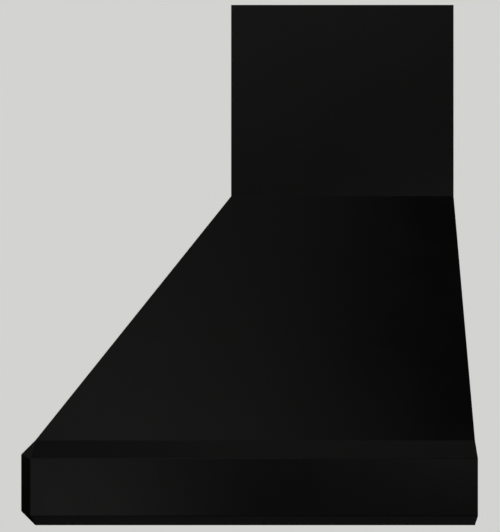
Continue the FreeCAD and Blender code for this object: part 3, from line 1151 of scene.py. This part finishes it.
@dataclass
class Apron(SubAssembly):
    """The bevelled apron, the skirt inside it and what the skirt carries."""

    shell: Shell = field(default_factory=Shell)
    apron_log: int = 11             # seed of the log that the three boards are cut from
    skirt_log: int = 23
    screw_margin: float = 55.0 * MM
    ledge_share: float = 0.4        # of that margin, on the ledges
    cleat_spread: float = 0.92      # of the front screws, because the cleat is the shorter board
    painted_rim: float = 20.0 * MM
    soaked: float = 6.0 * MM        # how far its paint reaches past its own thickness

    def build(self) -> None:
        """Dress the boards and drive their screws."""
        shell = self.shell
        rim = shell.foot + self.painted_rim
        form = shell.apron_form().build()
        whole = shell.apron_side - shell.crown_side + self.soaked
        faces = {
            "front": ((0.0, -1.0, 0.0), -shell.apron_front, Grain.ACROSS),
            "left": ((-1.0, 0.0, 0.0), shell.apron_side, Grain.DEEP),
            "right": ((1.0, 0.0, 0.0), shell.apron_side, Grain.DEEP),
        }
        for end, (outward, distance, grain) in faces.items():
            apron, skirt = "apron_" + end, "skirt_" + end
            paint = OuterFace(outward, distance, whole, rim)
            self.dress(apron, BoardFinish(apron, PINE, grain.value, self.apron_log, paint=paint))
            self.sand_to(apron, form)
            paint = OuterFace(outward, distance, 0.0, rim)
            self.dress(skirt, BoardFinish(skirt, PINE, grain.value, self.skirt_log, paint=paint))
            self.ease_arrises(skirt)
            self.pine("base_cleat_" + end, grain)
        self.plywood("skirt_back_rail", Grain.ACROSS, Grain.DEEP, rim=rim)
        self.pine("skirt_glue_blocks", Grain.UPRIGHT)
        for end in ("front", "back"):
            self.pine("liner_ledge_" + end, Grain.ACROSS)
        for end in SIDES:
            self.pine("liner_ledge_" + end, Grain.DEEP)
        self.fix()

    def fix(self) -> None:
        """Screws through the ledges, the skirt and the base cleats, driven from inside."""
        short = WoodScrew(ScrewHead.PAN, 30.0 * MM)
        ledge_low, ledge_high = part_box("liner_ledge_right")
        ledge_z = (ledge_low.z + ledge_high.z) / 2
        ledges, skirts, cleats = [], [], []
        skirt_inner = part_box("skirt_right")[0].x
        cleat_low, cleat_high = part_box("base_cleat_right")
        clear_z = (ledge_high.z + cleat_low.z) / 2
        cleat_z = (cleat_low.z + self.shell.crown) / 2
        for side in SIDES.values():
            into = (side, 0, 0)
            for y in between(ledge_low.y, ledge_high.y, 4, self.screw_margin * self.ledge_share):
                ledges.append(Seat((side * ledge_low.x, y, ledge_z), into))
            for y in between(cleat_low.y, cleat_high.y, 4, self.screw_margin):
                skirts.append(Seat((side * skirt_inner, y, clear_z), into))
                cleats.append(Seat((side * cleat_low.x, y, cleat_z), into))
        front_low, front_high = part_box("liner_ledge_front")
        back_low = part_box("liner_ledge_back")[0]
        cleat_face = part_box("base_cleat_front")[1].y
        skirt_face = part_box("skirt_front")[1].y
        for x in between(front_low.x, front_high.x, 5, self.screw_margin):
            ledges.append(Seat((x, front_high.y, ledge_z), (0, -1, 0)))
            ledges.append(Seat((x, back_low.y, ledge_z), (0, 1, 0)))
            skirts.append(Seat((x, skirt_face, clear_z), (0, -1, 0)))
            cleats.append(Seat((x * self.cleat_spread, cleat_face, cleat_z), (0, -1, 0)))
        self.screws("ledge_screws", short, ledges)
        self.screws("apron_screws", short, skirts)
        self.screws("base_cleat_screws", WoodScrew(ScrewHead.PAN, 50.0 * MM), cleats)


@dataclass
class Canopy(SubAssembly):
    """The tapered panels with their hip battens and stiles."""

    shell: Shell = field(default_factory=Shell)
    lap: float = 2.5 * MM
    sheet: int = 31                 # seed of the sheet that the panels are cut from
    stile_shares: tuple[float, ...] = (0.12, 0.30, 0.72, 0.90)      # of a stile, down from its top
    cleat_mitre: float = 30.0 * MM  # of the bend cleats' front ends, kept clear
    cleat_back: float = 15.0 * MM   # of their back ends, kept clear
    side_margin: float = 35.0 * MM
    front_margin: float = 45.0 * MM

    def build(self) -> None:
        """Dress the panels, round the hips and drive the stiles' screws."""
        shell = self.shell
        form = shell.canopy_form().build()
        side, front = shell.slope_side(), shell.slope_front()
        hinge = Vector((shell.chimney_side, shell.chimney_front, shell.bend))
        faces = {
            "right": (side, hinge.dot(side)),
            "left": (Vector((-side.x, 0, side.z)), hinge.dot(side)),
            "front": (front, hinge.dot(front)),
        }
        for end, (outward, distance) in faces.items():
            node = "canopy_" + end
            run = Vector((0, 0, 1)) - outward * outward.z
            paint = OuterFace(tuple(outward), distance, self.lap, NO_RIM)
            finish = BoardFinish(
                node, BIRCH, tuple(run.normalized()), self.sheet, through=tuple(outward), paint=paint,
            )
            self.dress(node, finish)
            self.sand_to(node, form)
        for end in SIDES:
            self.pine("hip_batten_" + end, Grain.UPRIGHT)
            self.pine("canopy_stile_" + end, Grain.UPRIGHT)
        for end, grain in (("left", Grain.DEEP), ("right", Grain.DEEP), ("front", Grain.ACROSS)):
            self.pine("bend_cleat_" + end, grain)
        self.fix()

    def fix(self) -> None:
        """Screws through the stiles and the bend cleats."""
        outward = self.shell.slope_side()
        low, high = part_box("canopy_stile_right")
        rise = (high - low).z
        top_inner = Vector((low.x, 0, high.z))
        down = Vector((outward.z, 0, -outward.x))
        y = (low.y + high.y) / 2
        seats = []
        for share in self.stile_shares:
            point = top_inner + down * (rise / outward.x * share)
            for side in SIDES.values():
                seats.append(Seat((side * point.x, y, point.z), (side * outward.x, 0, outward.z)))
        self.screws("stile_screws", WoodScrew(ScrewHead.PAN, 30.0 * MM), seats)

        low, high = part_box("bend_cleat_right")
        level = (self.shell.bend + high.z) / 2
        cleats = []
        for y in between(low.y + self.cleat_mitre, high.y - self.cleat_back, 3, self.side_margin):
            for side in SIDES.values():
                cleats.append(Seat((side * low.x, y, level), (side, 0, 0)))
        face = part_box("bend_cleat_front")[1].y
        for x in between(-low.x, low.x, 3, self.front_margin):
            cleats.append(Seat((x, face, level), (0, -1, 0)))
        self.screws("bend_cleat_screws", WoodScrew(ScrewHead.PAN, 35.0 * MM), cleats)


@dataclass
class Chimney(SubAssembly):
    """The straight chimney with its battens, the frame round its top and the duct shelf."""

    shell: Shell = field(default_factory=Shell)
    lap: float = 3.0 * MM
    sheet: int = 47                 # seed of the sheet that the panels are cut from
    stile_margin: float = 32.0 * MM
    side_margin: float = 28.0 * MM
    front_margin: float = 40.0 * MM
    head_reach: float = 12.0 * MM   # wider than a head, and less than the way to the next
    crown_depth: float = 0.1 * MM   # points of a head that lie less deep are its crown

    def build(self) -> None:
        """Dress the panels, round the corners and drive the screws."""
        shell = self.shell
        form = shell.chimney_form().build()
        faces = {
            "right": ((1.0, 0.0, 0.0), shell.chimney_side),
            "left": ((-1.0, 0.0, 0.0), shell.chimney_side),
            "front": ((0.0, -1.0, 0.0), -shell.chimney_front),
        }
        for end, (outward, distance) in faces.items():
            node = "chimney_" + end
            paint = OuterFace(outward, distance, self.lap, NO_RIM)
            finish = BoardFinish(
                node, BIRCH, Grain.UPRIGHT.value, self.sheet, through=outward, paint=paint,
            )
            self.dress(node, finish)
            self.sand_to(node, form)
        for end in SIDES:
            self.pine("corner_batten_" + end, Grain.UPRIGHT)
            self.pine("chimney_stile_" + end, Grain.UPRIGHT)
            self.pine("top_cleat_" + end, Grain.DEEP)
        self.pine("top_cleat_front", Grain.ACROSS)
        self.pine("chimney_top_rail", Grain.ACROSS)
        self.plywood("duct_shelf", Grain.ACROSS, Grain.UPRIGHT)
        self.fix()

    def fix(self) -> None:
        """Screws through the stiles, battens and top cleats, and those of the shelf."""
        short = WoodScrew(ScrewHead.PAN, 30.0 * MM)
        stile_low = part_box("chimney_stile_right")[0]
        cleat_low, cleat_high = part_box("top_cleat_right")
        batten_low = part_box("corner_batten_right")[0]
        uprights, tops = [], []
        stile_y, batten_y = middle("chimney_stile_right").y, middle("corner_batten_right").y
        cleat_z = (cleat_low.z + cleat_high.z) / 2
        for side in SIDES.values():
            into = (side, 0, 0)
            for z in between(stile_low.z, cleat_low.z, 3, self.stile_margin):
                uprights.append(Seat((side * stile_low.x, stile_y, z), into))
                uprights.append(Seat((side * batten_low.x, batten_y, z), into))
            for y in between(cleat_low.y, cleat_high.y, 3, self.side_margin):
                tops.append(Seat((side * cleat_low.x, y, cleat_z), into))
        front_low, front_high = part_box("top_cleat_front")
        for x in between(front_low.x, front_high.x, 3, self.front_margin):
            tops.append(Seat((x, front_high.y, cleat_z), (0, -1, 0)))
        self.screws("chimney_batten_screws", short, uprights)
        self.screws("top_cleat_screws", short, tops)
        self.shelf_screws()

    def shelf_screws(self) -> None:
        """Flush screws in the duct shelf, on the places of the plain ones that they stand for."""
        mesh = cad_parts["shelf_screws"].data
        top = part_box("shelf_screws")[1].z
        crowns = [v.co for v in mesh.vertices if v.co.z > top - self.crown_depth]
        seats: list[Seat] = []
        while crowns:
            near = [c for c in crowns if (c - crowns[0]).length < self.head_reach]
            x, y = ((min(c[i] for c in near) + max(c[i] for c in near)) / 2 for i in range(2))
            seats.append(Seat((x, y, top), (0, 0, -1)))
            crowns = [c for c in crowns if (c - crowns[0]).length >= self.head_reach]
        piece = drive("duct_shelf_screws", WoodScrew(ScrewHead.FLUSH, 34.0 * MM), seats)
        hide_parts("shelf_screws")
        self.pieces.append("duct_shelf_screws")


@dataclass
class WallHanging(SubAssembly):
    """The hooked rail on the cover and the hooked cleat on the wall."""

    screw_margin: float = 14.0 * MM
    screw_inset: float = 13.0 * MM      # from a block's inner side

    def build(self) -> None:
        """Dress the rail and the cleat, and screw the rail to its blocks."""
        for node in ("hanging_rail", "wall_cleat"):
            self.plywood(node, Grain.ACROSS, Grain.DEEP)
        for end in SIDES:
            self.pine("rail_block_" + end, Grain.UPRIGHT)
        low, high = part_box("rail_block_right")
        seats = []
        for side in SIDES.values():
            for z in between(low.z, high.z, 2, self.screw_margin):
                seats.append(Seat((side * (low.x + self.screw_inset), low.y, z), (0, 1, 0)))
        self.screws("rail_block_screws", WoodScrew(ScrewHead.PAN, 38.0 * MM), seats)


@dataclass(frozen=True)
class StudioPatch:
    """A softbox, or a dark flag where its strength is negative, as the gloss of the paint sees it."""

    azimuth: float      # degrees
    elevation: float    # degrees
    width: float        # degrees from its middle to its rim
    strength: float     # at its middle, as a share of the pale backdrop

    def aim(self) -> Point:
        """The direction of its middle, with the azimuth from +X towards the wall."""
        turn, rise = math.radians(self.azimuth), math.radians(self.elevation)
        return (math.cos(turn) * math.cos(rise), math.sin(turn) * math.cos(rise), math.sin(rise))


SOFTBOXES = (
    StudioPatch(-20, -20, 15, 1.8),
    StudioPatch(-20, 20, 30, 1.1),
    StudioPatch(-10, 50, 26, 0.6),
    StudioPatch(11, -7, 12, 2.2),
    StudioPatch(10, 18, 13, 0.9),
    StudioPatch(20, 82, 28, 0.65),
    StudioPatch(60, -10, 35, 0.8),
    StudioPatch(-65, -10, 25, 0.8),
    StudioPatch(-70, 20, 30, 0.7),
    StudioPatch(-105, 50, 25, 0.9),
    StudioPatch(-135, 5, 20, 0.6),
    StudioPatch(135, -10, 35, 0.8),
    StudioPatch(180, 10, 40, 0.8),
    StudioPatch(100, 30, 40, 0.6),
)
FLAGS = (
    StudioPatch(27, 45, 22, -1.0),
    StudioPatch(-105, -40, 30, -1.1),
    StudioPatch(-145, -25, 30, -0.6),
)


@dataclass(frozen=True)
class Lamp:
    """A square softbox that lights the cover and doesn't show, neither to the camera nor in gloss."""

    name: str
    place: Point
    size: float
    watts: float

    def hang(self, target: Point) -> None:
        """Hang it where it belongs.

        Args:
            target: what it points at.
        """
        data = bpy.data.lights.new(self.name, "AREA")
        data.shape = "SQUARE"
        data.size = self.size
        data.energy = self.watts
        lamp = bpy.data.objects.new(self.name, data)
        lamp.location = self.place
        lamp.rotation_euler = (Vector(target) - Vector(self.place)).to_track_quat("-Z", "Y").to_euler()
        lamp.visible_glossy = False
        lamp.visible_camera = False
        bpy.context.scene.collection.objects.link(lamp)


LAMPS = (
    Lamp("key_softbox", (2.2, -2.4, 2.6), size=1.8, watts=95.0),
    Lamp("fill_softbox", (-2.6, -1.6, 1.8), size=2.2, watts=55.0),
    Lamp("back_softbox", (0.6, 3.0, 2.2), size=2.0, watts=60.0),
)


@dataclass(frozen=True)
class Backdrop:
    """The pale floor and background, and the light that the studio gives."""

    pale: Point = (0.651, 0.651, 0.637)
    floor_colour: Point = (0.66, 0.66, 0.65)
    centre: Point = (0.0, -0.3, 0.1)            # what the lamps point at
    to_middle: Point = (0.0, 0.3, 0.0)          # brings the cover's middle to the origin
    floor_level: float = -0.90
    floor_reach: float = 9.0
    bare_floor: float = 0.45        # how far from the middle the floor starts to fade
    fade: float = 1.15              # how far from it the fading is done
    gloom: float = 0.12             # the studio between its softboxes, as a share of the pale
    ambient: float = 0.65           # its even light, as a share of the pale

    def world(self) -> None:
        """A pale backdrop for what looks at it, and a soft even light for the rest."""
        world = bpy.data.worlds.new("studio")
        bpy.context.scene.world = world
        world.use_nodes = True
        w = Wiring(world.node_tree)
        sky = world.node_tree.nodes["Background"]
        path = w.add("ShaderNodeLightPath").outputs
        direction = w.add("ShaderNodeTexCoord").outputs["Generated"]
        seen = w.math("MAXIMUM", path["Is Camera Ray"], path["Is Transmission Ray"])
        level = w.between(seen, self.ambient, 1.0)
        level = w.between(path["Is Glossy Ray"], level, self.studio_light(w, direction))
        sky.inputs["Color"].default_value = rgba(self.pale)
        w.feed(sky.inputs["Strength"], level)

    def studio_light(self, w: Wiring, direction: Wire) -> Wire:
        """How bright the studio looks in a reflection, as a share of the pale backdrop.

        Args:
            w: the world's tree.
            direction: the direction of the ray.

        Returns:
            The share, from dark past fully pale.
        """
        level: object = self.gloom
        for patch in (*SOFTBOXES, *FLAGS):
            near = w.vector("DOT_PRODUCT", direction, patch.aim())
            rim = math.cos(math.radians(patch.width))
            level = w.math("ADD", w.ease(near, rim, 1.0, 0.0, patch.strength), level)
        return w.math("MAXIMUM", level, 0.0)

    def floor(self) -> None:
        """A disc of pale floor under the cover, which takes its shadow and fades into the pale."""
        bm = bmesh.new()
        bmesh.ops.create_circle(bm, cap_ends=True, radius=self.floor_reach, segments=96)
        bmesh.ops.translate(bm, verts=bm.verts[:], vec=(0, 0, self.floor_level))
        floor = new_object("studio_floor", bm)
        floor.visible_glossy = False
        floor.data.materials.append(self.floor_finish())

    def floor_finish(self) -> bpy.types.Material:
        """The floor's matt, which fades into the backdrop and is clear from below.

        Returns:
            The floor's material.
        """
        material = bpy.data.materials.new("pale_floor")
        material.use_nodes = True
        w = Wiring(material.node_tree)
        nodes = material.node_tree.nodes
        nodes.remove(nodes["Principled BSDF"])
        out = nodes["Material Output"]
        place = w.add("ShaderNodeTexCoord").outputs["Object"]
        flat = w.vector("MULTIPLY", place, (1.0, 1.0, 0.0))
        away = w.vector("LENGTH", w.vector("ADD", flat, self.to_middle))
        near = w.ease(away, self.bare_floor, self.fade, 1.0, 0.0)
        matt = w.add("ShaderNodeBsdfDiffuse", Color=rgba(self.floor_colour), Roughness=0.6)
        glow = w.add("ShaderNodeEmission", Color=rgba(self.pale), Strength=1.0)
        clear = w.add("ShaderNodeBsdfTransparent")
        camera = w.add("ShaderNodeLightPath").outputs["Is Camera Ray"]
        under = w.add("ShaderNodeNewGeometry").outputs["Backfacing"]
        beyond = self.blend(w, camera, matt.outputs[0], glow.outputs[0])
        ground = self.blend(w, near, beyond, matt.outputs[0])
        w.feed(out.inputs["Surface"], self.blend(w, under, ground, clear.outputs[0]))
        return material

    def blend(self, w: Wiring, share: Wire, first: Wire, second: Wire) -> Wire:
        """Mix two shaders.

        Args:
            w: the material's tree.
            share: how much of the second there is.
            first: one shader.
            second: the other.

        Returns:
            The mixed shader.
        """
        node = w.add("ShaderNodeMixShader")
        for socket, value in zip(node.inputs, (share, first, second)):
            w.feed(socket, value)
        return node.outputs[0]

    def build(self) -> None:
        """Set up the floor, the backdrop and the lamps."""
        self.world()
        self.floor()
        for lamp in LAMPS:
            lamp.hang(self.centre)


@dataclass(frozen=True)
class PhotoCamera:
    """The camera of the photograph, square to the cover's right side.

    The picture's distances are in its own pixels, and the rest is worked out from the cover.
    """

    picture: tuple[float, float] = (500.0, 532.0)
    vanishing: tuple[float, float] = (308.0, 230.4)
    wall_edge: float = 477.99       # across the picture, where the apron's side meets the wall
    foot_edge: float = 530.5        # down the picture, where that side ends
    scale: float = 757.56           # pixels to a metre of that side
    reach: float = 1.062            # from the camera to that side
    sensor: float = 36.0            # width in mm

    def build(self, shell: Shell) -> None:
        """Place the camera by the vanishing point and the apron's nearest corner.

        Args:
            shell: the outer faces of the cover.
        """
        width, height = self.picture
        across, down = self.vanishing
        data = bpy.data.cameras.new("photo_camera")
        data.sensor_width = self.sensor
        data.lens = self.scale * self.reach / height * self.sensor
        data.shift_x = (width / 2 - across) / height
        data.shift_y = (down - height / 2) / height
        data.clip_start = 0.01
        camera = bpy.data.objects.new("photo_camera", data)
        camera.location = (
            shell.apron_side + self.reach,
            (across - self.wall_edge) / self.scale,
            shell.foot + (self.foot_edge - down) / self.scale,
        )
        camera.rotation_euler = (math.pi / 2, 0, math.pi / 2)
        bpy.context.scene.collection.objects.link(camera)
        bpy.context.scene.camera = camera


def main() -> None:
    """Build each sub-assembly, the studio and the camera."""
    logging.basicConfig(level=logging.INFO, format="%(name)s: %(message)s")
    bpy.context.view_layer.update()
    bpy.context.scene.view_settings.view_transform = "Standard"
    for assembly in (Apron(), Canopy(), Chimney(), WallHanging()):
        assembly.build()
        for piece in assembly.pieces:
            LOG.info("%s: %s", type(assembly).__name__, piece)
    Backdrop().build()
    PhotoCamera().build(Shell())
    bpy.context.view_layer.update()


if __name__ == "__main__":
    main()
